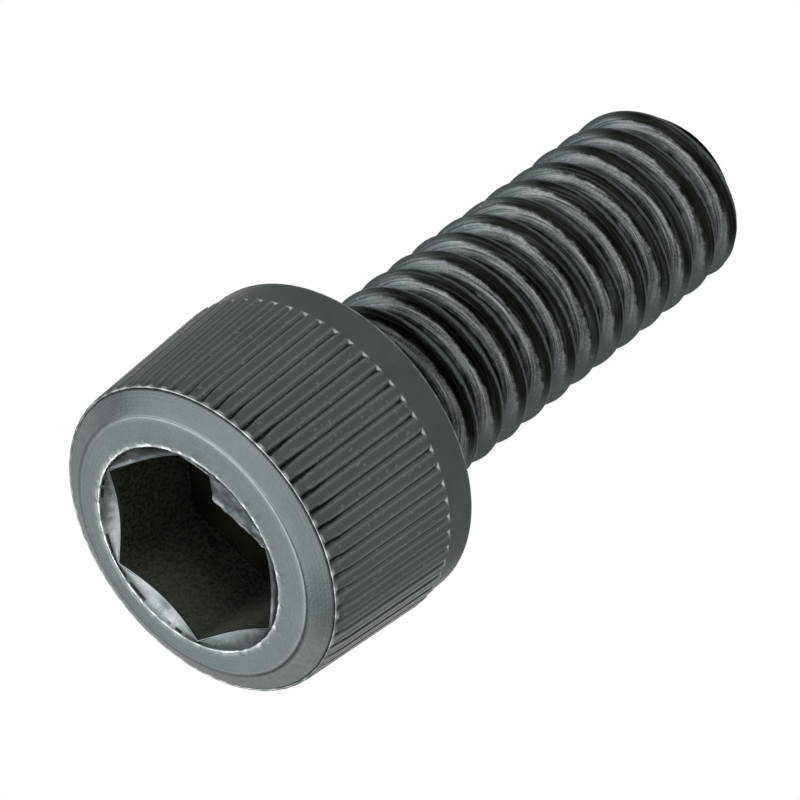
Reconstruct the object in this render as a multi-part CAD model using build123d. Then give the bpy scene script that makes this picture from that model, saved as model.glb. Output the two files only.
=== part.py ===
from build123d import *
import os
from math import atan, ceil, degrees, radians, sqrt, tan

# Hexagon socket head cap screw, No. 8-32 UNC x 7/16 in, in millimetres.
# It is cold-headed, knurled and thread-rolled from one length of alloy steel wire, so it is one solid.
# The screw stands on its head: the origin is the centre of the head's flat face, and the shank points up +Z.
# The +X axis points at one corner of the hexagon socket.

# --- Driving dimensions ---------------------------------------------------------------------------

mm_per_inch = 25.4

# Head: flat face, chamfer, tapered side that carries the knurl, and a plain collar behind the knurl
head_height = 4.16
face_radius = 2.71
chamfer_angle = 60.0
knurl_front_radius = 3.21
knurl_front_height = 0.29
knurl_rear_radius = 3.43
knurl_rear_height = 3.36
collar_radius = 3.38
collar_edge = 0.12

# Straight knurl: V-shaped grooves pressed into the side of the head, with flat-topped ridges between them
knurl_ridges = 60
ridge_direction = 1.9
groove_depth = 0.08
groove_half_angle = 42.0

# Hexagon socket, punched from the face, with the punch's cone at its floor and a countersunk mouth.
# The punch went in a little off the head's centre.
socket_across_flats = 3.62
socket_depth = 2.20
socket_centre = (0.12, -0.03)
punch_point_angle = 120.0
mouth_radius = 2.15
mouth_angle = 120.0

# Bruised lip: the mouth of one wall is pushed into the socket and ends short of a corner.
# Each place in its plan is a distance out towards that wall, then a distance along the wall.
lip_direction = 150.0
lip_root_start = (2.14, -0.58)
lip_inner_start = (1.30, -0.20)
lip_inner_end = (1.44, 1.18)
lip_root_end = (2.14, 1.10)
lip_top_height = 0.03
lip_edge_height = 0.15
lip_edge_thickness = 0.08
lip_root_height = 0.65

# Thread: 60 degree unified form, right-handed, rolled almost up to the head
thread_pitch = mm_per_inch / 32
thread_radius = 2.03
thread_height = 0.6134 * thread_pitch
crest_flat = thread_pitch / 8
flank_angle = 30.0
thread_phase = 0.60
turns_per_sweep = 4

# Shank: length under the head, conical neck, and chamfer at the tip
shank_length = 7 / 16 * mm_per_inch
neck_radius = 2.20
neck_height = 0.85
tip_radius = 1.50
tip_angle = 45.0

# How far the pieces of the model reach into each other, and how far a cutter reaches past the part
overlap = 0.06
clearance = 1.0

# --- Dimensions that follow -----------------------------------------------------------------------

tip_height = head_height + shank_length
root_radius = thread_radius - thread_height
sweep_height = turns_per_sweep * thread_pitch
thread_start = head_height + thread_phase - thread_pitch
sweep_count = ceil((tip_height - thread_start) / sweep_height)
thread_end = thread_start + sweep_count * sweep_height
knurl_taper = (knurl_rear_radius - knurl_front_radius) / (knurl_rear_height - knurl_front_height)
knurl_base_radius = knurl_front_radius - knurl_taper * knurl_front_height
band_height = knurl_rear_height + knurl_rear_radius - collar_radius
ridge_step = 360.0 / knurl_ridges
apothem = socket_across_flats / 2
corner_radius = socket_across_flats / sqrt(3)


def turned(points):
    """A body of revolution about the screw's axis, from an outline given as radius and height."""
    outline = Polyline(*[(radius, 0, height) for radius, height in points], close=True)
    return revolve(make_face(outline), Axis.Z)


def knurl_groove():
    """The cutter for one groove: a V prism along the taper, its bottom line set in by the groove's depth."""
    along = Vector(knurl_taper, 0, 1)
    bottom = Vector(knurl_base_radius - groove_depth, 0, 0)
    start = bottom - along * clearance
    length = (band_height + 2 * clearance) * along.length
    rise = groove_depth + overlap
    half_width = rise * tan(radians(groove_half_angle))
    section = Plane(origin=start, x_dir=(0, 1, 0), z_dir=along.normalized())
    outline = Polyline((0, 0), (half_width, -rise), (-half_width, -rise), close=True)
    return extrude(section * make_face(outline), amount=length)


def knurled_band():
    """The part of the head that carries the knurl.

    It is a tapered polygon with one flat for each ridge. A groove is cut along each of its corners.
    """
    polygon = RegularPolygon(knurl_base_radius, knurl_ridges, major_radius=False)
    band = extrude(polygon, amount=band_height, taper=-degrees(atan(knurl_taper)))
    groove = knurl_groove()
    band = band - [Rot(0, 0, ridge_step * number) * groove for number in range(knurl_ridges)]
    return Rot(0, 0, ridge_direction - ridge_step / 2) * band


def head_outline():
    """The turned outline that bounds the knurled band: the flat face, its chamfer, and the ridges' rear ends."""
    outer = knurl_rear_radius + clearance
    chamfer_top = (outer - face_radius) / tan(radians(chamfer_angle))
    return turned(
        [
            (0, 0),
            (face_radius, 0),
            (outer, chamfer_top),
            (outer, band_height - (outer - collar_radius)),
            (collar_radius, band_height),
            (0, band_height),
        ]
    )


def collar():
    """The plain collar between the knurl and the bearing face, with its rear edge broken."""
    core_radius = collar_radius - 2 * groove_depth
    return turned(
        [
            (0, band_height - clearance),
            (core_radius, band_height - clearance),
            (core_radius, band_height),
            (collar_radius, band_height),
            (collar_radius, head_height - collar_edge),
            (collar_radius - collar_edge, head_height),
            (0, head_height),
        ]
    )


def neck():
    """The neck under the head: a cone that fills the thread's first groove, where the rolling dies run out."""
    inner_radius = root_radius - overlap
    neck_top = head_height + neck_height
    return turned(
        [
            (0, head_height - clearance),
            (neck_radius, head_height - clearance),
            (neck_radius, head_height),
            (inner_radius, neck_top),
            (0, neck_top),
        ]
    )


def ridge_half_width(radius):
    """Half the width of the thread's ridge at a radius: its flanks stand 30 degrees off square."""
    return crest_flat / 2 + (thread_radius - radius) * tan(radians(flank_angle))


def ridge_section(height):
    """The ridge's section at a height on the +X side. Each flank is two narrow strips, which facet lightly."""
    radii = [root_radius - overlap, root_radius + thread_height / 2, thread_radius]
    lower = [(radius, 0, height - ridge_half_width(radius)) for radius in radii]
    upper = [(radius, 0, height + ridge_half_width(radius)) for radius in reversed(radii)]
    return make_face(Polyline(*lower, *upper, close=True))


def thread_ridge():
    """The whole ridge, as stretches laid end to end. It starts inside the head and runs out past the tip."""
    stretches = []
    for number in range(sweep_count):
        start = thread_start + number * sweep_height
        path = Helix(pitch=thread_pitch, height=sweep_height, radius=root_radius, center=(0, 0, start))
        stretches.append(sweep(ridge_section(start), path=path, is_frenet=True))
    return stretches


def tip_waste():
    """What is cut off at the tip: everything past the flat end and outside its chamfer."""
    outer = thread_radius + clearance
    chamfer_height = (outer - tip_radius) / tan(radians(tip_angle))
    waste_top = thread_end + 2 * clearance
    return turned(
        [
            (0, tip_height),
            (tip_radius, tip_height),
            (outer, tip_height - chamfer_height),
            (outer, waste_top),
            (0, waste_top),
        ]
    )


def threaded_shank():
    """The shank: a rod of the thread's root radius, the ridge wound on it, then the tip cut to length."""
    bottom = thread_start - clearance
    top = thread_end + clearance
    rod = turned([(0, bottom), (root_radius, bottom), (root_radius, top), (0, top)])
    return rod + thread_ridge() - tip_waste()


def socket():
    """The space of the socket: a hexagon, the cone left by the punch, and the countersink at the mouth."""
    hexagon = extrude(RegularPolygon(corner_radius, 6), amount=socket_depth)
    cone_top = socket_depth + apothem / tan(radians(punch_point_angle / 2))
    cone = turned([(0, socket_depth), (apothem, socket_depth), (0, cone_top)])
    mouth_depth = mouth_radius / tan(radians(mouth_angle / 2))
    mouth = turned([(0, 0), (mouth_radius, 0), (0, mouth_depth)])
    return Pos(*socket_centre, 0) * (hexagon + cone + mouth)


def bruised_lip():
    """The lip that was pushed into the mouth: a wedge across the wall, trimmed to its outline in plan."""
    outer = lip_root_start[0]
    inner = min(lip_inner_start[0], lip_inner_end[0])
    wedge_outline = Polyline(
        (outer, 0, lip_top_height),
        (inner, 0, lip_edge_height),
        (inner, 0, lip_edge_height + lip_edge_thickness),
        (outer, 0, lip_root_height),
        close=True,
    )
    wedge = extrude(make_face(wedge_outline), amount=corner_radius, both=True)
    plan = make_face(Polyline(lip_root_start, lip_inner_start, lip_inner_end, lip_root_end, close=True))
    return Rot(0, 0, lip_direction) * (wedge & extrude(plan, amount=lip_root_height))


def cap_screw():
    """The finished screw as one solid."""
    head = (knurled_band() & head_outline()) + collar()
    blank = threaded_shank() + neck() + head
    return blank - socket() + bruised_lip()


os.makedirs("parts", exist_ok=True)
screw = cap_screw()
screw.label = "cap_screw"
export_step(screw, "parts/cap_screw.step")
print("cap_screw", "valid:", screw.is_valid, "solids:", len(screw.solids()), "volume:", round(screw.volume, 2))
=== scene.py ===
# %% [markdown]
# # A socket head cap screw
#
# This script dresses one small screw for close-up looks. Its CAD model already has the right form: the
# knurled head, the hexagon socket, the thread. What the CAD leaves out is what the eye meets at this
# size: rolled crests that are round and not sharp, knurl ridges with soft ends, an edge that catches
# the light, and the dull sheen of oiled black oxide. So the screw is worked out again here as one fine
# surface, inside the CAD model's box, and it stands in for the CAD node.

# %% Load the frame
import math
import bpy
import numpy as np
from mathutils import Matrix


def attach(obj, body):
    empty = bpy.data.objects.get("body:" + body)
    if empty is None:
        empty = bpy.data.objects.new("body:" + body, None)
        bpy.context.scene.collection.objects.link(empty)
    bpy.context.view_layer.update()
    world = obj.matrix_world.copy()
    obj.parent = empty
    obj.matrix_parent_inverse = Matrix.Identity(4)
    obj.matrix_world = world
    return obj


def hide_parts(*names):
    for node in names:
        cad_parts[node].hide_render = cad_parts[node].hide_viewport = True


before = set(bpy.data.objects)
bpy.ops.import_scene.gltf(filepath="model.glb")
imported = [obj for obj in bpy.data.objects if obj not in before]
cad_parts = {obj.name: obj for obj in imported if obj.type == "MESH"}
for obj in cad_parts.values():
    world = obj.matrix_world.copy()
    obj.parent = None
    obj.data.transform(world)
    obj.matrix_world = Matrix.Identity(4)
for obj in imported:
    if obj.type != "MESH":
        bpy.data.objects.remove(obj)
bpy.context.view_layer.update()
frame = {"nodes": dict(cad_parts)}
print("the frame holds", ", ".join(frame["nodes"]))

# %% [markdown]
# ## Sizes
#
# A screw is a standard part, so it is drawn from a few standard sizes: this one is a No. 8-32 x 7/16 in
# socket head cap screw. Everything below is in millimetres, as on a maker's drawing, and is turned into
# Blender's metres only when the mesh is made. The axis runs up +Z from the head's flat face, which is
# at zero height.

# %% Standard sizes, in millimetres
mm = 0.001
inch = 25.4
pitch = inch / 32
crest_radius = 2.03
thread_depth = 0.6134 * pitch
root_radius = crest_radius - thread_depth
head_height = 4.16
tip_height = head_height + 7 / 16 * inch
knurl_front_radius, knurl_front_height = 3.21, 0.29
knurl_rear_radius, knurl_rear_height = 3.43, 3.36
collar_radius = 3.38
mouth_radius = 2.15
socket_half_width = 1.81
socket_depth = 2.20
socket_centre = np.array([0.12, -0.03, 0.0])
print("the thread climbs", round(pitch, 3), "mm a turn and is", round(thread_depth, 3), "mm deep")

# %% [markdown]
# ## Colours and nodes
#
# Colours are written as they are picked from a paint chart, in sRGB, and turned to the linear values
# that a renderer works in. A material is a tree of nodes, and wiring one by hand takes many lines, so
# one small function adds a node, sets what it is given and links what it is given.


# %% Colours and nodes
def linear(hex_colour):
    """The linear RGBA of an sRGB colour such as 8899AA."""
    srgb = np.array([int(hex_colour[i : i + 2], 16) for i in (0, 2, 4)]) / 255
    low = srgb / 12.92
    high = ((srgb + 0.055) / 1.055) ** 2.4
    return (*np.where(srgb <= 0.04045, low, high).tolist(), 1.0)


def node(tree, kind, inputs=(), output=0, **settings):
    """Adds a node, sets it, fills its inputs by order or name with links or values, returns one output."""
    made = tree.nodes.new("ShaderNode" + kind)
    for name, value in settings.items():
        setattr(made, name, value)
    for name, value in inputs.items() if isinstance(inputs, dict) else enumerate(inputs):
        if isinstance(value, bpy.types.NodeSocket):
            tree.links.new(value, made.inputs[name])
        else:
            made.inputs[name].default_value = value
    return made.outputs[output] if made.outputs else made


def new_material(name):
    """A material with an empty node tree, and that tree."""
    material = bpy.data.materials.new(name)
    material.use_nodes = True
    material.node_tree.nodes.clear()
    return material, material.node_tree


print("a mid grey of 808080 is", round(linear("808080")[0], 3), "in linear light")

# %% [markdown]
# ## Camera and stage
#
# The camera looks into the socket from below and to one side, through a long lens, as a catalogue shows
# such a part. The screw stands on its head, so this camera is under the floor. The floor is therefore
# one-sided: from above it is a plain pale surface that takes the screw's shadow, and from below it
# isn't there. It is also hidden from lamps and reflections, so that the face of the head, which lies on
# it, is lit as it would be in the hand. The light comes from a plain white room and one broad lamp.


# %% Aiming a camera or a lamp, and the camera
def aim(thing, position, target, roll=0.0):
    """Puts a camera or lamp at a place in millimetres, aims it at a target and rolls it on that line."""
    line = np.subtract(target, position)
    forward = line / np.linalg.norm(line)
    level = np.cross(forward, (0.0, 0.0, 1.0))
    level /= np.linalg.norm(level)
    upright = np.cross(level, forward)
    turn = math.radians(roll)
    right = math.cos(turn) * level - math.sin(turn) * upright
    above = np.cross(right, forward)
    columns = np.stack([right, above, -forward, np.multiply(position, mm)], axis=1)
    thing.matrix_world = np.vstack([columns, (0.0, 0.0, 0.0, 1.0)]).T.tolist()


camera_data = bpy.data.cameras.new("view_into_the_socket")
camera_data.lens = 187.2
camera_data.clip_start = 5.0 * mm
camera_data.clip_end = 10_000.0 * mm
camera = bpy.data.objects.new("view_into_the_socket", camera_data)
bpy.context.scene.collection.objects.link(camera)
bpy.context.scene.camera = camera
aim(camera, position=(-59.17, 16.97, -44.71), target=(0.678, -0.367, 6.687), roll=-52.77)
print("camera at", [round(v, 4) for v in camera.matrix_world.translation])

# %% The one-sided floor
floor_material, tree = new_material("pale_one_sided_floor")
pale = node(tree, "BsdfDiffuse", {"Color": linear("F2F2F2")})
clear = node(tree, "BsdfTransparent")
from_below = node(tree, "NewGeometry", output="Backfacing")
one_sided = node(tree, "MixShader", (from_below, pale, clear))
node(tree, "OutputMaterial", {"Surface": one_sided})

floor_reach, floor_height = 600.0, -0.01
signs = np.array([(-1, -1, 1), (1, -1, 1), (1, 1, 1), (-1, 1, 1)])
floor_corners = signs * [floor_reach, floor_reach, floor_height] * mm
floor_mesh = bpy.data.meshes.new("floor")
floor_mesh.from_pydata(floor_corners.tolist(), [], [(0, 1, 2, 3)])
floor_mesh.materials.append(floor_material)
floor = bpy.data.objects.new("floor", floor_mesh)
bpy.context.scene.collection.objects.link(floor)
for ray in ("diffuse", "glossy", "transmission", "shadow", "volume_scatter"):
    setattr(floor, "visible_" + ray, False)
print("the floor is", 2 * floor_reach, "mm wide")

# %% The white room: what lights the screw, and what the eye and reflections see
world = bpy.data.worlds.new("plain_white_room")
world.use_nodes = True
tree = world.node_tree
tree.nodes.clear()
rays = node(tree, "LightPath").node.outputs
seen = node(tree, "Math", (rays["Is Camera Ray"], rays["Is Glossy Ray"]), operation="MAXIMUM")
shown = node(tree, "Math", (seen, rays["Is Transmission Ray"]), operation="MAXIMUM")
# The light and the backdrop are plain white here. They are kept apart so that either can be changed alone.
lighting = node(tree, "Background", {"Color": linear("FFFFFF"), "Strength": 1.0})
backdrop = node(tree, "Background", {"Color": linear("FFFFFF"), "Strength": 1.0})
chosen = node(tree, "MixShader", (shown, lighting, backdrop))
node(tree, "OutputWorld", {"Surface": chosen})
bpy.context.scene.world = world
bpy.context.scene.view_settings.view_transform = "Standard"
print("the room is a", world.name.replace("_", " "))

# %% One broad lamp, below the head
lamp_data = bpy.data.lights.new("broad_low_lamp", "AREA")
lamp_data.size = 200.0 * mm
lamp_data.energy = 0.40
lamp = bpy.data.objects.new("broad_low_lamp", lamp_data)
bpy.context.scene.collection.objects.link(lamp)
aim(lamp, position=(45.0, 4.0, -122.0), target=(0.0, 0.0, 6.0))
print("the lamp is", round(lamp_data.size / mm), "mm wide and gives", round(lamp_data.energy, 2), "W")

# %% [markdown]
# ## The head's columns
#
# A straight knurl is rolled into the side of the head before it is hardened: sixty flat-topped ridges
# with narrow V grooves between them, there for fingers to grip. A grid over the whole head could be
# even, but a groove is so narrow that an even grid would miss its edges. So the grid's columns are
# bunched: each ridge has fourteen, at the bottom and the edges of its groove, and one of them falls
# exactly on each corner of the hexagon socket.

# %% Columns round the head
ridge_count = 60
ridge_step = 2 * np.pi / ridge_count
first_groove = math.radians(-1.1)
corner_share = -first_groove / ridge_step
half_columns = np.array([0.04, 0.10, corner_share, 0.225, 0.28, 0.39])
shares = np.concatenate([-half_columns[::-1], [0.0], half_columns, [0.5]])
head_angle = (first_groove + ridge_step * (np.arange(ridge_count)[:, None] + shares)).ravel()
print(len(head_angle), "columns round the head")


# %% Soft corners for formulas, and points from polar form
def soft_positive(value, width):
    """A value where it is above zero and nothing below, with the corner rounded over a width."""
    return (value + np.sqrt(value**2 + width**2)) / 2


def soft_least(first, second, width):
    """The lesser of two values, with the corner where they cross rounded over a width."""
    return first - soft_positive(first - second, width)


def smooth_step(value, start, end):
    """Rises from 0 at the start to 1 at the end, level at both."""
    share = np.clip((value - start) / (end - start), 0.0, 1.0)
    return share * share * (3 - 2 * share)


def polar_grid(radii, angles, heights):
    """Points from radius by cosine, radius by sine, and height: one row of them for each ring."""
    return np.stack(np.broadcast_arrays(radii * np.cos(angles), radii * np.sin(angles), heights), axis=2)


print("a corner rounded over 1 mm passes", soft_positive(0.0, 1.0), "mm from the sharp one")

# %% [markdown]
# ## The outside of the head
#
# The side of the head is a turned outline with the knurl sunk into it. It could be sixty copies of one
# groove cut away by a Boolean, but a formula is quicker and keeps every edge soft. For each column, the
# knurl's own radius is the tapered cone less the groove's depth there. The head's radius is the lesser
# of that and the turned outline, so the chamfer runs out into each groove by itself.

# %% The turned outline, as stretches of radius and height
clear_of_knurl = 3.50
front_heights = [0.52, 0.70, 1.00, 1.40, 2.00, 2.70, 3.10]
rear_heights = [3.23, 3.28, 3.315, 3.345, 3.37, 3.395, 3.425, 3.48, 3.70]
corner_width, corner_height = 0.20, 0.17
corner_turn = np.radians([10, 21.5, 34, 47.5, 62, 76, 90])
rear_corner = np.stack(
    [
        collar_radius - corner_width * (1 - np.cos(corner_turn)),
        head_height - corner_height * (1 - np.sin(corner_turn)),
    ],
    axis=1,
)
stretches = {
    "flat face": [(2.40, 0.0), (2.52, 0.0), (2.62, 0.0), (2.67, 0.001)],
    "turned step": [(2.695, 0.006), (2.708, 0.016), (2.722, 0.028), (2.745, 0.037)],
    "chamfer": [(2.78, 0.054), (2.86, 0.098), (2.95, 0.148), (3.03, 0.193), (3.085, 0.224), (3.11, 0.238)],
    "ring's groove": [(3.128, 0.248), (3.137, 0.257), (3.145, 0.269), (3.153, 0.275), (3.162, 0.272)],
    "fine ring": [(3.171, 0.267), (3.182, 0.269), (3.192, 0.275), (3.203, 0.283), (3.212, 0.294)],
    "rim": [(3.22, 0.312), (3.235, 0.335), (3.26, 0.37), (3.30, 0.43)],
    "knurl": [(clear_of_knurl, height) for height in front_heights + rear_heights],
    "collar": [(collar_radius, 3.93), (collar_radius, 3.99), *rear_corner],
    "bearing face": [(2.80, head_height), (2.45, head_height)],
}
outline = np.concatenate([np.array(stretch) for stretch in stretches.values()])
turned_radius, ring_height = outline[:, 0:1], outline[:, 1:2]
print("from front to rear:", ", ".join(stretches), "in", len(outline), "points")

# %% Depth of the knurl's grooves
at_front = 1 - smooth_step(ring_height, 0.32, 1.1)
at_rear = smooth_step(ring_height, 3.18, 3.32)
middle_depth, deeper_at_front, deeper_at_rear = 0.036, 0.046, 0.049
groove_depth = middle_depth + deeper_at_front * at_front + deeper_at_rear * at_rear
groove_depth = groove_depth * smooth_step(ring_height, 0.27, 0.32)
from_ridge = 1 - 2 * np.abs(np.tile(shares, ridge_count))
groove_edge = 0.72 - 0.36 * (1 - smooth_step(ring_height, 0.32, 0.75)) - 0.2 * at_rear
groove = groove_depth * (np.clip(from_ridge - groove_edge, 0, 1) / (1 - groove_edge))
print("the grooves are", round(float(groove.min()), 3), "to", round(float(groove.max()), 3), "mm deep")

# %% The head's side as rings from the face back to the neck
taper = (knurl_rear_radius - knurl_front_radius) / (knurl_rear_height - knurl_front_height)
knurl_radius = knurl_front_radius + taper * (ring_height - knurl_front_height) - groove
behind_knurl = smooth_step(ring_height, knurl_rear_height - 0.025, knurl_rear_height + 0.03)
side_radius = knurl_radius + (collar_radius - knurl_radius) * behind_knurl
only_turned = (ring_height < 0.2) | (ring_height > 3.9)
shaped_radius = soft_least(turned_radius, side_radius, 0.012)
head_rings = polar_grid(np.where(only_turned, turned_radius, shaped_radius), head_angle, ring_height)
print(head_rings.shape[0], "rings outside the head")

# %% [markdown]
# ## The socket
#
# The key fits a hexagon that a punch sinks into the head, here a little off its centre. A 120 degree
# countersink at its mouth guides the key in, and the punch leaves a shallow cone at the bottom. Each
# ring of the socket could be built wall by wall, but in polar form a hexagon is a single formula: the
# half width divided by the cosine of the angle from the nearest wall.

# %% The hexagon and its countersink
cone_slope = math.tan(math.radians(30))


def hexagon_radius(angle):
    """Half the width across flats over the cosine of the angle from the nearest wall, with soft corners."""
    from_wall = np.mod(angle, np.pi / 3) - np.pi / 6
    this_wall = socket_half_width / np.cos(from_wall)
    next_wall = socket_half_width / np.cos(np.pi / 3 - np.abs(from_wall))
    return soft_least(this_wall, next_wall, 0.02)


def cone_height(radius):
    """A 120 degree cone: it sinks by the tangent of 30 degrees for each millimetre inside the mouth."""
    return (mouth_radius - radius) * cone_slope


print("the hexagon's corners reach", round(float(hexagon_radius(0.0)), 3), "mm")

# %% [markdown]
# ## Dents
#
# Punching and rough keys leave the mouth of a socket crumpled. Noise from a texture would only bump the
# shading, so the dents go into the mesh. A sum of plane waves in random directions, from a seeded
# generator, gives a surface with no repeat that the eye could find. Read along a circle, it also meets
# itself after a turn.

# %% Seeded dents
generator = np.random.default_rng(8)
wave_count = 14
wave_heading = generator.uniform(0, 2 * np.pi, wave_count)
wave_length = generator.uniform(0.16, 0.55, wave_count)
wave_start = generator.uniform(0, 2 * np.pi, wave_count)


def dents(x, y):
    """A sum of plane waves over the root of their number. Each has its own direction and length."""
    total = 0.0 * x
    for heading, length, start in zip(wave_heading, wave_length, wave_start):
        total = total + np.sin((x * np.cos(heading) + y * np.sin(heading)) * 2 * np.pi / length + start)
    return total / math.sqrt(wave_count)


def dents_round(radius, aside=0.0):
    """The dents along a circle of this radius, for the head's columns. Its centre can be moved aside."""
    return dents(aside + radius * np.cos(head_angle), radius * np.sin(head_angle))


print(wave_count, "waves in the dents")

# %% [markdown]
# ## The bruised lip
#
# One side of this socket's mouth is damaged: a key that slipped has pushed a tongue of metal over the
# opening. A sculpted patch could do it, but the tongue has a plain outline of straight sides, so it too
# is a formula in the same polar grid. The rings of the countersink run on to the tongue's edge, go
# round it, and come back under it.

# %% Corners of the tongue, outward from the screw's axis and along its edge
lip_direction = math.radians(150)
lip_outward = np.array([math.cos(lip_direction), math.sin(lip_direction)])
lip_along = np.array([-lip_outward[1], lip_outward[0]])
lip_corners = np.array([(2.14, -0.58), (1.30, -0.20), (1.44, 1.18), (2.14, 1.10)])
lip_corners = lip_corners - [socket_centre[:2] @ lip_outward, socket_centre[:2] @ lip_along]
root_start, inner_start, inner_end, root_end = lip_corners


def line_distance(angle, start, end):
    """How far off the line through two points is in a direction: one cross product over another."""
    run = end - start
    return (start[0] * run[1] - start[1] * run[0]) / (np.cos(angle) * run[1] - np.sin(angle) * run[0])


def left_of_line(x, y, start, end):
    """How far a point is to the left of the line from start to end."""
    run = (end - start) / np.linalg.norm(end - start)
    return (y - start[1]) * run[0] - (x - start[0]) * run[1]


print("the tongue's edge is", round(float(np.linalg.norm(inner_end - inner_start)), 2), "mm long")

# %% The socket's edge, with the tongue over it
lip_angle = np.mod(head_angle - lip_direction + np.pi, 2 * np.pi) - np.pi
near_lip = (lip_angle > math.radians(-16)) & (lip_angle < math.radians(45))
tongue_angle = np.where(near_lip, lip_angle, 0.0)
front_edge = line_distance(tongue_angle, inner_start, inner_end)
side_edge = line_distance(tongue_angle, root_start, inner_start)
pushed_further, edge_waviness = 0.03, 0.004
tongue = np.maximum(front_edge, side_edge) - pushed_further
tongue = tongue + edge_waviness * dents(6.0 * lip_angle, 0.0 * lip_angle)
hexagon = hexagon_radius(head_angle)
edge_radius = np.where(near_lip, soft_least(hexagon, tongue, 0.015), hexagon)
overhang = np.clip(hexagon - edge_radius, 0.0, None)
print("the tongue reaches", round(float(overhang.max()), 2), "mm over the socket")

# %% [markdown]
# ## The mouth
#
# Seen from the face inwards, the mouth is a low burr that the punch pushed up, then the countersink, a
# little hollow between the burr and the hexagon's edge, and then that edge. Where the tongue lies, its
# gentle slope takes the place of the countersink. The mouth could be one turned outline, but its burr
# and its edge wander, so each ring has its own radius and height at every column.

# %% Heights across the mouth
hollow_depth, hollow_dents = 0.032, 0.004
tongue_root, tongue_sink, tongue_slope, tongue_dents = 2.26, 0.03, 0.143, 0.010


def mouth_height(radius, share):
    """The countersink with its hollow and dents, or where the tongue lies its slope with deeper dents."""
    outward, along = radius * np.cos(lip_angle), radius * np.sin(lip_angle)
    from_start = left_of_line(outward, along, inner_start, root_start)
    from_end = left_of_line(outward, along, root_end, inner_end)
    on_tongue = near_lip * smooth_step(np.minimum(from_start, from_end), -0.03, 0.05)
    bumps = dents_round(radius)
    cone = cone_height(radius) + 4 * share * (1 - share) * (hollow_depth + hollow_dents * bumps)
    slope = tongue_sink + tongue_slope * (tongue_root - radius)
    slope = slope + tongue_dents * bumps * smooth_step(share, 0.05, 0.25)
    return np.maximum(cone + on_tongue * (np.minimum(cone, slope) - cone), 0.0), on_tongue * (slope < cone)


print("the hollow is", hollow_depth, "mm deep and the tongue slopes by", tongue_slope, "mm a millimetre")

# %% Rings over the burr
burr_swell = dents_round(2.3) + 0.8 * np.cos(head_angle - math.radians(10))
burr_strength = smooth_step(burr_swell, -0.7, 0.9)
burr_wander = 0.012 * dents_round(2.6, aside=5.0)
burr_radii = mouth_radius + np.array([0.110, 0.070, 0.048, 0.030, 0.016, 0.004])[:, None]
burr_radii = burr_radii + np.array([0.0, 0.4, 0.8, 1.0, 1.0, 1.0])[:, None] * burr_wander
burr_heights = np.array([0.0, 0.007, 0.011, 0.004, 0.0, 0.001])[:, None] * burr_strength
print("the burr's trough is up to", round(float(burr_heights.max()), 3), "mm deep")

# %% Rings down the countersink to the socket's rounded edge
edge_round = 0.025
cone_start = mouth_radius - 0.008
down_cone = np.array([0.0, 0.04, 0.10, 0.18, 0.28, 0.38, 0.50, 0.62, 0.74, 0.85, 0.94, 1.0])[:, None]
cone_radii = cone_start + (edge_radius + edge_round - cone_start) * down_cone
cone_heights, on_lip = mouth_height(cone_radii, down_cone)
edge_height = cone_heights[-1]
edge_radii = np.stack([edge_radius + 0.3 * edge_round, edge_radius])
edge_heights = np.stack([edge_height + 0.3 * edge_round, edge_height + edge_round])
print("the socket's edge lies up to", round(float(edge_height.max()), 3), "mm below the face")

# %% Rings under the tongue and back to the wall
lip_thickness = 0.08
shoulder_height = 0.65
back_under = np.array([0.0, 0.12, 0.35, 0.65, 1.0])[:, None]
edge_low = edge_height + edge_round + (lip_thickness - edge_round) * smooth_step(overhang, 0.02, 0.15)
under_radii = edge_radius + overhang * back_under
under_heights = edge_low + (shoulder_height - edge_low) * back_under
mouth_radii = np.vstack([burr_radii, cone_radii, edge_radii, under_radii])
mouth_heights = np.vstack([burr_heights, cone_heights, edge_heights, under_heights])
mouth_rings = polar_grid(mouth_radii, head_angle, mouth_heights) + socket_centre
print(mouth_rings.shape[0], "rings in the mouth")

# %% Rings down the walls and over the punched floor
wall_columns = 240
wall_angle = np.linspace(0, 2 * np.pi, wall_columns, endpoint=False)
wall = hexagon_radius(wall_angle)
wall_heights = np.array([0.75, 1.1, 1.6, 2.0, 2.15])[:, None] + 0 * wall
foot_radii = np.stack([wall - 0.008, wall - 0.03])
foot_heights = np.array([[2.185], [2.2]]) + 0 * foot_radii
floor_radii = np.array([1.77, 1.5, 1.1, 0.7, 0.35, 0.12])[:, None] + 0 * wall
floor_heights = socket_depth + (socket_half_width - floor_radii) * cone_slope
socket_radii = np.vstack([wall + 0 * wall_heights, foot_radii, floor_radii])
socket_heights = np.vstack([wall_heights, foot_heights, floor_heights])
socket_rings = polar_grid(socket_radii, wall_angle, socket_heights) + socket_centre
socket_bottom = socket_centre + [0.0, 0.0, socket_depth + socket_half_width * cone_slope]
print(socket_rings.shape[0], "rings in the socket")

# %% [markdown]
# ## The thread
#
# The thread is rolled, not cut: hardened dies squeeze the metal up into the crests, so the crests are
# round and the flanks are smooth. It could be swept along a helix, but a swept profile has to be joined
# to the core, the neck and the tip. Here the shank is one grid instead. Its rows are helices that climb
# one pitch a turn, at the heights where the profile bends, and the radius is read from the profile: the
# thread, but never less than the neck nor more than the tip's chamfer. The row that leaves a turn is
# the row that enters the next, so there is no seam.

# %% The helical rows
shank_columns = 144
shank_angle = np.linspace(0, 2 * np.pi, shank_columns + 1)
half_profile = np.array([0.03, 0.055, 0.085, 0.17, 0.27, 0.33])
profile_steps = np.concatenate([-half_profile[::-1], [0.0], half_profile, [pitch / 2]])
thread_phase = 0.60
turns = np.arange(-2, 15)
row_height = (head_height + thread_phase + turns[:, None] * pitch + profile_steps).ravel()
shank_height = row_height[:, None] + shank_angle / (2 * np.pi) * pitch
shank_height = np.clip(shank_height, head_height, tip_height)
print(len(row_height), "helical rows on the shank")

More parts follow.
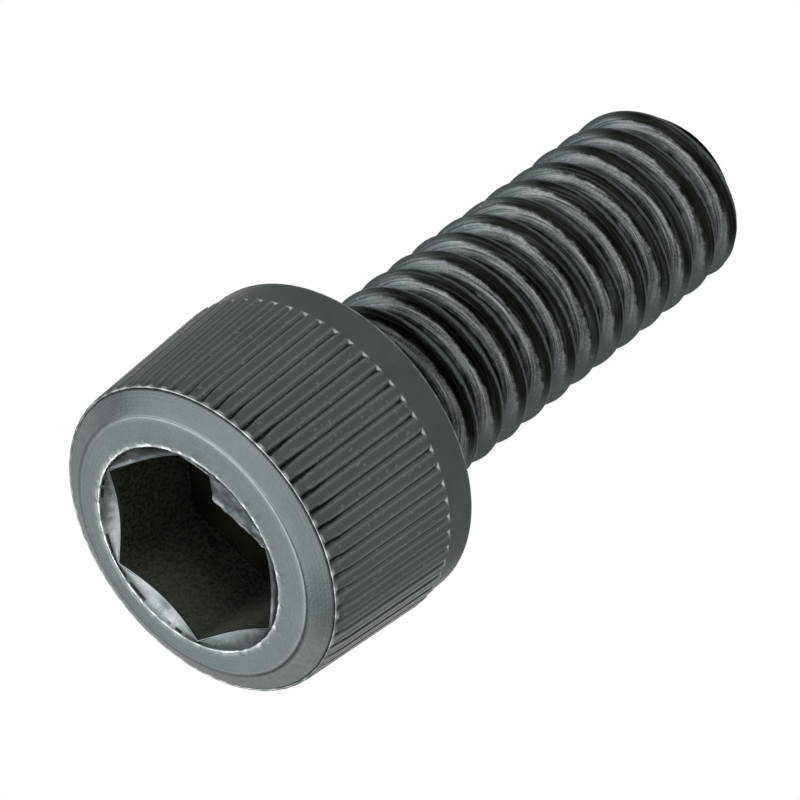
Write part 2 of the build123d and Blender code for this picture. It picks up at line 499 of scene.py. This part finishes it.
# %% The rolled profile: its flanks stand 30 degrees from square, its crest is an eighth of the pitch wide
crest_round, root_round = 0.03, 0.05
crest_short, root_deeper = 0.004, 0.01
crest_waviness, dents_drawn_out = 0.008, 0.2
from_crest = np.tile(np.abs(profile_steps), len(turns))[:, None]
flank_depth = soft_positive(from_crest - pitch / 16, crest_round) / math.tan(math.radians(30))
turns_run = np.repeat(turns, len(profile_steps))[:, None] + shank_angle / (2 * np.pi)
crest_dents = dents(turns_run * 2 * np.pi * crest_radius * dents_drawn_out, from_crest + 0 * turns_run)
thread_radius = crest_radius - crest_short - soft_least(flank_depth, thread_depth + root_deeper, root_round)
thread_radius = thread_radius + crest_waviness * crest_dents
print("the crests reach", round(float(thread_radius.max()), 3), "mm before they are limited")

# %% The shank: the thread, not less than the neck and not more than the tip
neck_radius, neck_height, neck_overrun = 2.20, 0.85, 0.06
neck_drop = (neck_radius - root_radius + neck_overrun) / neck_height
neck = neck_radius - (shank_height - head_height) * neck_drop
tip_radius = 1.50
tip = tip_radius + tip_height - shank_height
shank_radius = np.minimum(np.maximum(np.minimum(thread_radius, crest_radius), neck), tip)
shank_rings = polar_grid(shank_radius, shank_angle, shank_height)
print("the shank is", round(2 * float(shank_radius[:, 0].max()), 2), "mm wide at its neck")

# %% The end of the shank, cupped a little by the rolling
cup_depth = 0.035
end_angle = shank_angle[:-1]
end_radii = np.array([1.46, 1.38, 1.20, 0.90, 0.55, 0.20])[:, None]
end_cup = cup_depth * (1 - (end_radii / tip_radius) ** 2) * (1 - smooth_step(end_radii, 1.0, 1.5))
end_rings = polar_grid(end_radii, end_angle, tip_height - end_cup)
end_middle = np.array([0.0, 0.0, tip_height - cup_depth])
print(end_rings.shape[0], "rings on the end")

# %% [markdown]
# ## Joining the grids
#
# The grids meet at rings with different numbers of columns. They could be left as separate shells that
# touch, but a mesh is sound only when it is closed. So a helper walks round two such rings, joins each
# point of the finer one to the nearest point of the coarser one, and closes the gaps between. All the
# points then go into one list. Points that fall in the same place are merged, and triangles that have
# lost their area are dropped.


# %% Helpers that join rings
def grid_triangles(first, rings, columns, closed):
    """Two triangles for each cell between neighbouring rings and columns. Points count from the first."""
    cells = np.arange(columns if closed else columns - 1)
    ring, column = np.meshgrid(np.arange(rings - 1), cells, indexing="ij")
    here = first + ring * columns + column
    beside = first + ring * columns + (column + 1) % columns
    lower = np.stack([here, beside, here + columns], axis=2)
    upper = np.stack([beside, beside + columns, here + columns], axis=2)
    return np.concatenate([lower.reshape(-1, 3), upper.reshape(-1, 3)])


def join_triangles(fine, fine_angle, coarse, coarse_angle, outward):
    """Joins two rings of point indices: each fine point to its nearest coarse one, with the gaps closed."""
    gap = np.abs(np.mod(fine_angle[:, None] - coarse_angle + np.pi, 2 * np.pi) - np.pi)
    nearest = gap.argmin(axis=1)
    following = np.roll(nearest, -1)
    sides = np.stack([fine, np.roll(fine, -1), coarse[nearest]], axis=1)
    steps = np.stack([np.roll(fine, -1), coarse[following], coarse[nearest]], axis=1)[nearest != following]
    made = np.concatenate([sides, steps])
    return made if outward else made[:, ::-1]


print("two rings of three points are joined by", len(grid_triangles(0, 2, 3, closed=True)), "triangles")

# %% All the points, and where each ring's are
grids = [head_rings, mouth_rings, socket_rings, shank_rings, end_rings]
firsts = np.cumsum([0] + [grid.shape[0] * grid.shape[1] for grid in grids])
points = np.concatenate([grid.reshape(-1, 3) for grid in grids] + [socket_bottom[None], end_middle[None]])
bottom_point, end_point = len(points) - 2, len(points) - 1
head, mouth, socket, shank, end = range(len(grids))


def ring_points(grid_number, ring):
    """The indices of one ring's points. The ring can be counted from the end, as -1."""
    rings, columns = grids[grid_number].shape[:2]
    return firsts[grid_number] + (ring % rings) * columns + np.arange(columns)


print(len(points), "points in", len(grids), "grids")

# %% One closed surface
last_socket, last_end = ring_points(socket, -1), ring_points(end, -1)
triangles = np.concatenate(
    [
        grid_triangles(firsts[head], *head_rings.shape[:2], closed=True),
        grid_triangles(firsts[mouth], *mouth_rings.shape[:2], closed=True)[:, ::-1],
        grid_triangles(firsts[socket], *socket_rings.shape[:2], closed=True)[:, ::-1],
        grid_triangles(firsts[shank], *shank_rings.shape[:2], closed=False),
        grid_triangles(firsts[end], *end_rings.shape[:2], closed=True),
        join_triangles(ring_points(mouth, 0), head_angle, ring_points(head, 0), head_angle, True),
        join_triangles(ring_points(mouth, -1), head_angle, ring_points(socket, 0), wall_angle, False),
        join_triangles(ring_points(head, -1), head_angle, ring_points(shank, 0)[:-1], end_angle, True),
        join_triangles(ring_points(shank, -1)[:-1], end_angle, ring_points(end, 0), end_angle, True),
        np.stack([np.roll(last_socket, -1), last_socket, np.full(wall_columns, bottom_point)], axis=1),
        np.stack([last_end, np.roll(last_end, -1), np.full(shank_columns, end_point)], axis=1),
    ]
)
print(len(triangles), "triangles before merging")

# %% [markdown]
# ## Where the finish differs, and where light and shade are painted
#
# One oxide bath covers the whole screw, yet the finish isn't the same all over. Edges that rub are
# burnished to a lighter grey, and the same grey is painted on some edges and on one side of some
# surfaces as highlights. Grooves and hollows get painted shade, and a dark, dull sheet of painted shade
# lies on the socket's walls. The face and collar keep the rings of the tool that turned them, and the
# thread keeps fine lines from the dies. Masks could be painted, but every grid already knows where its
# points are, so each mask is a formula, stored on the points for the material to read.


# %% Helpers for masks
def band(value, start, end, fade):
    """1 between two values and 0 outside, with a soft fade at each end."""
    return smooth_step(value, start - fade, start) * (1 - smooth_step(value, end, end + fade))


def towards(angle, degrees, start, end):
    """0 to 1 towards one direction round the axis: a smooth step of the cosine of the angle from it."""
    return smooth_step(np.cos(angle - math.radians(degrees)), start, end)


def over(grid, mask):
    """A mask for each point of a grid, from one that may have a single row or column."""
    return (mask + np.zeros(grid.shape[:2])).ravel()


print("halfway down its fade, a band is", band(-0.5, 0.0, 1.0, 1.0))

# %% The head's worn edges and painted highlights
knurled = band(ring_height, 0.32, 3.34, 0.04)
# Strength that varies at random along the edges.
uneven_strength = 0.35 + 0.65 * smooth_step(dents_round(3.2), -0.6, 0.8)
# One side of the knurl, where the ridge edges get a painted highlight and the groove floors painted shade.
knurl_light_side = towards(head_angle, 252, 0.85, 0.98)
# Painted glints on the ridges' front ends and on the grooves' rear ends.
ridge_front_glints = band(ring_height, 0.267, 0.315, 0.01) * uneven_strength * (1 - 0.6 * from_ridge)
groove_end_glints = band(ring_height, 3.35, 3.37, 0.015) * from_ridge**3
# The ridge edges are a little lighter all round, as worn, and carry a painted highlight on one side.
ridge_edge_wear_and_highlights = 0.12 * band(from_ridge, 0.5, 0.64, 0.1) + 0.5 * knurl_light_side * band(from_ridge, 0.3, 0.5, 0.2)
# The collar's and the face's edges are lighter: worn, and painted as highlights.
collar_edge = band(ring_height, 4.05, 4.10, 0.03) * uneven_strength
face_edge = band(turned_radius, 2.69, 2.71, 0.03)
on_chamfer = band(turned_radius, 2.78, 3.11, 0.05) * (ring_height < 0.26)
# One side of the chamfer gets a painted reflection.
chamfer_reflection = on_chamfer * towards(head_angle, 330, -0.55, 0.15)
head_wear_and_highlights = (
    0.55 * ridge_front_glints
    + 2.0 * groove_end_glints
    + knurled * ridge_edge_wear_and_highlights
    + 0.5 * collar_edge
    + 0.2 * face_edge
    + 0.3 * chamfer_reflection
)
print("burnished on the head:", round(float(np.clip(head_wear_and_highlights, 0, 1).mean()), 3), "on average")

# %% The head's painted shade
# Painted shadow in the grooves' front pockets, behind the rim.
groove_step_shadow = band(ring_height, 0.31, 0.42, 0.12) * (ring_height > 0.3) * from_ridge**2
# Painted shade on the groove floors on the knurl's one side.
groove_floor_shade = knurled * knurl_light_side * smooth_step(from_ridge, 0.6, 0.8)
# Painted shade in the fine ring's groove, and on one side in the turned step.
ring_groove_shade = band(turned_radius, 3.145, 3.153, 0.01)
step_shade = band(turned_radius, 2.712, 2.73, 0.012) * towards(head_angle, 225, 0.4, 0.9)
recessed_head = 0.6 * groove_step_shadow + 0.8 * groove_floor_shade + ring_groove_shade + 0.7 * step_shade
print("oiled on the head:", round(float(np.clip(recessed_head, 0, 1).mean()), 3), "on average")


# %% The mouth's worn edges and painted highlights, and painted light on the walls
def lit_wall_side(angle, height):
    """Painted light on the walls on one side, less and less with depth."""
    return 0.2 * towards(angle, 305, 0.4, 0.95) * (1 - smooth_step(height, 0.5, 1.9))


streaks = dents_round(0.9, aside=3.0 + cone_radii)
# One side of the countersink is lighter, a painted highlight, with less painted shade in its hollow.
lit_cone_side = towards(head_angle, 345, 0.5, 0.95)
# The burr, the countersink's edges and the hexagon's edge are lighter: worn, and painted as highlights.
near_edge = 0.6 * on_lip[-1] * smooth_step(down_cone, 0.86, 1.0) + (down_cone < 0.02) * burr_strength
burr_wear_and_highlights = np.array([0.0, 0.1, 0.2, 0.5, 0.9, 0.8])[:, None] * (0.3 + 0.7 * burr_strength)
cone_wear_and_highlights = np.maximum(0.1 * streaks + 0.2 * lit_cone_side, 0.7 * near_edge)
edge_wear_and_highlights = np.array([[0.5], [0.3]]) * (0.2 + 0.8 * smooth_step(overhang, 0.02, 0.1))
# The rings under the tongue and the socket's walls get painted light on one side.
light_under_lip = lit_wall_side(head_angle, under_heights) * (overhang < 0.02)
mouth_wear_and_highlights = np.vstack([burr_wear_and_highlights, cone_wear_and_highlights, edge_wear_and_highlights, light_under_lip])
socket_wall_light = lit_wall_side(wall_angle, socket_heights)
print("burnished in the mouth:", round(float(np.clip(mouth_wear_and_highlights, 0, 1).mean()), 3), "on average")

# %% The mouth's painted shade, and the dark sheet of painted shade on the walls
# A painted shadow line just inside the burr.
behind_burr = band(down_cone, 0.10, 0.21, 0.07) * smooth_step(dents_round(0.35), -0.8, -0.1)
burr_shadow_line = 1.1 * behind_burr * smooth_step(burr_strength, 0.1, 0.6)
# Painted shade in the countersink's hollow, less on the lit side and on the tongue.
hollowed = 4 * down_cone * (1 - down_cone)
hollow_shade = hollowed * (0.34 - 0.08 * streaks) * (1 - 0.3 * on_lip) * (1 - 0.7 * lit_cone_side)
# Painted shade under the tongue.
shade_under_lip = np.array([0.2, 0.5, 0.5, 0.4, 0.3])[:, None] + 0 * head_angle
cone_shade = np.maximum(hollow_shade, burr_shadow_line)
recessed_mouth = np.vstack([0 * burr_radii, cone_shade, 0 * edge_radii, shade_under_lip])
# A dark, dull sheet of painted shade lies under the tongue and over the whole socket.
mouth_shade_sheet = np.repeat([0.0, 1.0], [len(mouth_radii) - len(back_under), len(back_under)])[:, None]
on_floor = np.repeat([0.0, 1.0], [len(wall_heights), len(socket_radii) - len(wall_heights)])[:, None]
print("the film covers", int(mouth_shade_sheet.sum()), "rings of the mouth and all the socket's walls")

# %% Painted shade at the thread's neck, and a darker tip
above_neck = smooth_step(thread_radius - neck, -0.02, 0.06)
inside_tip = smooth_step(tip - thread_radius, -0.02, 0.06)
# The last half millimetre before the tip is darker.
darker_tip = 0.85 * smooth_step(shank_height, tip_height - 0.55, tip_height - 0.35) * (1 - 0.5 * crest_dents)
# The neck under the head gets painted shade.
recessed_shank = np.maximum(darker_tip, 0.8 * (1 - above_neck))
print("the thread itself is", round(float((above_neck * inside_tip).mean()), 2), "of the shank's grid")

# %% [markdown]
# ## Painted light and shade on the bearing flanks
#
# When a screw is tightened, the flank of each turn that faces the head bears on the nut. The flanks of
# a groove mirror each other, and a metal as dark as this one loses such second reflections when it is
# rendered. Lamps could be moved to bring them back, but then they would light the rest too. So the
# bands are painted: a painted highlight low on each such flank, and painted shade in the root below it
# and under the crest above it. They are masks on these flanks, brightest on one side of the shank and
# fading away from it.

# %% Masks of the painted highlight and shade on the bearing flanks
faces_head = np.tile(profile_steps < 0, len(turns))[:, None]
# The side of the shank where the painted highlight is brightest.
highlight_side = math.radians(164)
away = 0.45 - 0.386 * np.cos(shank_angle - highlight_side)
flank = faces_head * (1 - smooth_step(away, 0.19, 0.36)) * above_neck * inside_tip
# The painted highlight's mask, strongest near that side.
flank_highlight = flank * (0.28 + 0.72 * (1 - smooth_step(away, 0.076, 0.18)))
below_crest = from_crest + 0.3 * away
print("the bands lie on", round(float((flank > 0).mean()), 2), "of the shank's grid")

# %% All the masks: the head's, the mouth's, the socket's, the shank's and the end's, then two middle points
# These masks carry worn edges with painted highlights, painted shade in grooves, hollows and the socket,
# the painted bands on the thread's flanks, and the tools' real marks.
masks = {
    "burnished": [head_wear_and_highlights, mouth_wear_and_highlights, socket_wall_light, 0.0, 0.1],
    "recessed": [recessed_head, recessed_mouth, 0.0, recessed_shank, 0.0],
    "deep": [0.0, 0.0, on_floor, 0.0, 0.0],
    "filmed": [0.0, mouth_shade_sheet, 1.0, 0.0, 0.0],
    "metallic": [1.0, 1 - 0.9 * mouth_shade_sheet, 0.1 + 0.9 * on_floor, 1.0, 1.0],
    "flank": [0.0, 0.0, 0.0, flank, 0.0],
    "bearing": [0.0, 0.0, 0.0, flank_highlight, 0.0],
    "below_crest": [0.0, 0.0, 0.0, below_crest, 0.0],
    "turned": [1 - knurled, 0.0, 0.0, 0.0, 0.6],
    "from_crest": [0.0, 0.0, 0.0, from_crest, 0.0],
    "rolled": [0.0, 0.0, 0.0, 1.0, 0.0],
}
middles = {name: (0.0, 0.0) for name in masks}
middles |= {"deep": (1.0, 0.0), "filmed": (1.0, 0.0), "metallic": (1.0, 1.0), "turned": (0.0, 0.6)}
masks = {
    name: np.concatenate([over(grid, part) for grid, part in zip(grids, parts)] + [middles[name]])
    for name, parts in masks.items()
}
print("masks:", ", ".join(masks))

# %% Points merged, and triangles without area dropped
places, kept_points, merged = np.unique(np.round(points, 6), axis=0, return_index=True, return_inverse=True)
triangles = merged.reshape(-1)[triangles]
first, second, third = triangles.T
triangles = triangles[(first != second) & (second != third) & (third != first)]
print(len(places), "points and", len(triangles), "triangles")

# %% The screw as a mesh
screw_mesh = bpy.data.meshes.new("cap_screw_rolled_and_knurled")
screw_mesh.vertices.add(len(places))
screw_mesh.vertices.foreach_set("co", (places * mm).ravel())
screw_mesh.loops.add(triangles.size)
screw_mesh.loops.foreach_set("vertex_index", triangles.ravel())
screw_mesh.polygons.add(len(triangles))
screw_mesh.polygons.foreach_set("loop_start", np.arange(0, triangles.size, 3))
for name, values in masks.items():
    attribute = screw_mesh.attributes.new(name, "FLOAT", "POINT")
    attribute.data.foreach_set("value", np.clip(values, 0, 1)[kept_points])
screw_mesh.update(calc_edges=True)
screw_mesh.validate()
screw_mesh.polygons.foreach_set("use_smooth", np.ones(len(triangles), dtype=bool))
screw_mesh.set_sharp_from_angle(angle=math.radians(35))
screw = bpy.data.objects.new("cap_screw_rolled_and_knurled", screw_mesh)
bpy.context.scene.collection.objects.link(screw)
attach(screw, "root")
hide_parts("cap_screw")
print("the screw is", [round(length / mm, 2) for length in screw.dimensions], "mm")

# %% [markdown]
# ## The finish
#
# Black oxide is steel's own magnetite, grown in a hot bath and then oiled. It isn't a paint: it takes
# the shape of every scratch and stays a metal to the eye, a dark one with a soft satin gloss and a cold
# green-grey tint. So the base is a dark metal, lighter where edges are worn and where highlights are
# painted on, and nearly black where shade is painted into grooves, hollows and roots. A dark, dull sheet
# of painted shade covers the socket's walls and the metal under the tongue, and it alone isn't metallic.
# A bump adds what the tools left: fine grain everywhere, turned rings on the face, and die lines along
# the thread. All this could be an image wrapped round the screw, but noise at real sizes has no seam and
# stays sharp close up.

# %% The colours of the finish
colours = {
    "thick oxide": "404546",
    "thin oxide": "525859",
    "oxide crystals": "343A3B",
    "bare speck": "8C9091",
    # Worn edges, and the painted highlights on edges and on one side of some surfaces
    "worn edge and highlight grey": "B2B6B8",
    # The painted highlight on the bearing flanks
    "flank highlight grey": "BCC1C2",
    # Painted shade in grooves, hollows and roots, and the darker tip
    "shade black": "0D0F0B",
    # The dark sheet of painted shade in the socket, and painted light on one side of its walls
    "sheet shade dark": "0C0F06",
    "sheet shade grey": "2C3026",
    "sheet highlight": "7A7E74",
    # Painted shade on the socket's floor
    "floor shade black": "0C0D08",
}
colours = {name: linear(code) for name, code in colours.items()}
print(len(colours), "colours")

# %% The material, its place and its masks
# Cold-headed alloy steel, blackened and oiled: to the eye a dark satin metal with broad, soft highlights.
oxide, tree = new_material("oiled_black_oxide_over_cold_headed_steel")
place = node(tree, "TexCoord", output="Object")
mask = {
    name: node(tree, "Attribute", output="Fac", attribute_name=name, attribute_type="GEOMETRY")
    for name in masks
}
print("the material reads", len(mask), "masks")

# %% Noise: the size of each pattern in millimetres, and its detail
# The bath's mottle and the wander of the painted bands have their real size. Crystals, the painted
# shade sheet's patches, grit and grain are too fine to show here, at about 0.02 mm, so they are drawn
# several times as coarse.
per_mm = 1 / mm
patterns = {
    "mottle": (0.7, 3.0),
    "speckle": (0.12, 3.0),
    "speck": (0.09, 4.0),
    "wander": (0.2, 4.0),
    "shade_sheet": (0.06, 4.0),
    "grit": (0.05, 2.0),
    "grain": (0.06, 2.0),
}
noise = {
    name: node(tree, "TexNoise", {"Vector": place, "Scale": per_mm / size, "Detail": detail}, output="Fac")
    for name, (size, detail) in patterns.items()
}
print("noises:", ", ".join(noise))

# %% The lines of the dies: noise drawn out along the thread
# Real die lines are about 0.01 mm wide, too fine to show here, so these are drawn 0.035 mm wide. The mask
# from_crest is in millimetres and the place in metres, so the mask is turned to metres too.
line_length, line_width = 1.5, 0.035
across_lines = node(tree, "Math", (mask["from_crest"], line_length / line_width * mm), operation="MULTIPLY")
line_inputs = {"Vector": place, "W": across_lines, "Scale": per_mm / line_length, "Detail": 2.0}
line = node(tree, "TexNoise", line_inputs, output="Fac", noise_dimensions="4D")
print("die lines", line_width, "mm wide and", line_length, "mm long")

# %% The oxide: mottled and speckled, with a few bare specks where it wasn't turned
# A Mix node for colours has its share at input 0, its colours at 6 and 7, and the mix at output 2.
bath_inputs = {0: noise["mottle"], 6: colours["thick oxide"], 7: colours["thin oxide"]}
bath = node(tree, "Mix", bath_inputs, 2, data_type="RGBA")
speckle_share = node(tree, "Math", (noise["speckle"], 0.3), operation="MULTIPLY")
speckled = node(tree, "Mix", {0: speckle_share, 6: bath, 7: colours["oxide crystals"]}, 2, data_type="RGBA")
speck = node(tree, "MapRange", (noise["speck"], 0.62, 0.69), interpolation_type="SMOOTHSTEP")
speck_most = node(tree, "Math", (mask["turned"], -0.25, 0.25), operation="MULTIPLY_ADD")
speck_share = node(tree, "Math", (speck, speck_most), operation="MULTIPLY")
specked = node(tree, "Mix", {0: speck_share, 6: speckled, 7: colours["bare speck"]}, 2, data_type="RGBA")
print("the oxide has", len(tree.nodes), "nodes so far")

# %% Worn edges and painted highlights
speckled_strength = node(tree, "Math", (noise["speckle"], 0.9, 0.5), operation="MULTIPLY_ADD")
wear_and_highlight_share = node(tree, "Math", (mask["burnished"], speckled_strength), operation="MULTIPLY", use_clamp=True)
burnished = node(tree, "Mix", {0: wear_and_highlight_share, 6: specked, 7: colours["worn edge and highlight grey"]}, 2, data_type="RGBA")
print("burnished edges added,", len(tree.nodes), "nodes")


# %% The painted highlight bands on the bearing flanks, broken up by grit and die lines
def between(value, start, end, rise_fade, fall_fade):
    """1 where a value is between two others and 0 outside, with a soft fade of its own at each end."""
    rise = node(tree, "MapRange", (value, start - rise_fade, start), interpolation_type="SMOOTHSTEP")
    fall = node(tree, "MapRange", (value, end + fall_fade, end), interpolation_type="SMOOTHSTEP")
    return node(tree, "Math", (rise, fall), operation="MULTIPLY")


depth = node(tree, "Math", (noise["wander"], 0.06, mask["below_crest"]), operation="MULTIPLY_ADD")
highlight_band = between(depth, 0.26, 0.285, 0.055, 0.09)
bearing = node(tree, "Math", (highlight_band, mask["bearing"]), operation="MULTIPLY")
grit = node(tree, "Math", (noise["grit"], 1.3, -1.43), operation="MULTIPLY_ADD")
grit_and_lines = node(tree, "Math", (line, 3.0, grit), operation="MULTIPLY_ADD")
streaked = node(tree, "Math", (grit_and_lines, 0.1), operation="MAXIMUM")
broken_highlight = node(tree, "Math", (bearing, streaked), operation="MULTIPLY", use_clamp=True)
banded = node(tree, "Mix", {0: broken_highlight, 6: burnished, 7: colours["flank highlight grey"]}, 2, data_type="RGBA")
print("bearing bands added,", len(tree.nodes), "nodes")

# %% Painted shade: in the thread's root, under its crests, and where the masks say
root_shade = node(tree, "Math", (between(depth, 0.38, 0.55, 0.04, 0.04), 0.75), operation="MULTIPLY")
flank_shade = node(tree, "Math", (between(depth, 0.11, 0.21, 0.04, 0.04), root_shade), operation="MAXIMUM")
on_flank = node(tree, "Math", (flank_shade, mask["flank"]), operation="MULTIPLY")
line_gap = node(tree, "Math", (line, -2.0, 2.0), operation="MULTIPLY_ADD", use_clamp=True)
shaded = node(tree, "Math", (on_flank, line_gap), operation="MULTIPLY")
# The masks' painted shade and the flanks' painted shade, nearly black.
darkest = node(tree, "Math", (mask["recessed"], shaded), operation="MAXIMUM")
dark = node(tree, "Math", (darkest, 0.95), operation="MULTIPLY")
shaded_colour = node(tree, "Mix", {0: dark, 6: banded, 7: colours["shade black"]}, 2, data_type="RGBA")
print("oil added,", len(tree.nodes), "nodes")

# %% The painted shade sheet in the socket, with painted light on one side of its walls
patchy = node(tree, "MapRange", (noise["shade_sheet"], 0.38, 0.60), interpolation_type="SMOOTHSTEP")
shade_sheet_inputs = {0: patchy, 6: colours["sheet shade dark"], 7: colours["sheet shade grey"]}
shade_sheet = node(tree, "Mix", shade_sheet_inputs, 2, data_type="RGBA")
# Painted light on one side of the socket's walls.
lit_shade_sheet = node(tree, "Mix", {0: wear_and_highlight_share, 6: shade_sheet, 7: colours["sheet highlight"]}, 2, data_type="RGBA")
filmed = node(tree, "Mix", {0: mask["filmed"], 6: shaded_colour, 7: lit_shade_sheet}, 2, data_type="RGBA")
# The socket's floor is painted nearly black, as shade.
colour = node(tree, "Mix", {0: mask["deep"], 6: filmed, 7: colours["floor shade black"]}, 2, data_type="RGBA")
print("film added,", len(tree.nodes), "nodes")

# %% Gloss: satin all over, duller on the painted flank highlights and on the painted shade sheet
# Oiled oxide is about 0.3 to 0.4 rough, which the eye sees as a broad, soft highlight.
satin = node(tree, "Math", (noise["mottle"], 0.16, 0.26), operation="MULTIPLY_ADD")
dulled = node(tree, "Math", (bearing, mask["filmed"]), operation="MAXIMUM")
gloss = node(tree, "Math", (dulled, 0.2, satin), operation="MULTIPLY_ADD")
print("gloss added,", len(tree.nodes), "nodes")

# %% The marks of the tools, as heights in millimetres
ring_spacing = 0.05
ring_relief, line_relief, grain_relief = 0.0025, 0.02, 0.0025
flat_place = node(tree, "VectorMath", (place, (1.0, 1.0, 0.0)), operation="MULTIPLY")
from_axis = node(tree, "VectorMath", (flat_place,), "Value", operation="LENGTH")
ring_inputs = {"W": from_axis, "Scale": per_mm / ring_spacing, "Detail": 2.0}
ring = node(tree, "TexNoise", ring_inputs, output="Fac", noise_dimensions="1D")
ring_most = node(tree, "Math", (mask["turned"], ring_relief), operation="MULTIPLY")
turned_rings = node(tree, "Math", (ring, ring_most), operation="MULTIPLY")
line_most = node(tree, "Math", (mask["rolled"], line_relief), operation="MULTIPLY")
rings_and_lines = node(tree, "Math", (line, line_most, turned_rings), operation="MULTIPLY_ADD")
marks = node(tree, "Math", (noise["grain"], grain_relief, rings_and_lines), operation="MULTIPLY_ADD")
relief = node(tree, "Bump", {"Height": marks, "Strength": 1.0, "Distance": mm})
print("turned rings", ring_spacing, "mm apart")

# %% The surface
# Oxide reflects less at a glancing angle than bare steel does, so its tint there is a grey and not white.
finish = {"Base Color": colour, "Metallic": mask["metallic"], "Roughness": gloss, "Normal": relief}
finish["Specular Tint"] = (0.6, 0.6, 0.6, 1.0)
node(tree, "OutputMaterial", {"Surface": node(tree, "BsdfPrincipled", finish)})
screw_mesh.materials.append(oxide)
print("the finish has", len(tree.nodes), "nodes")
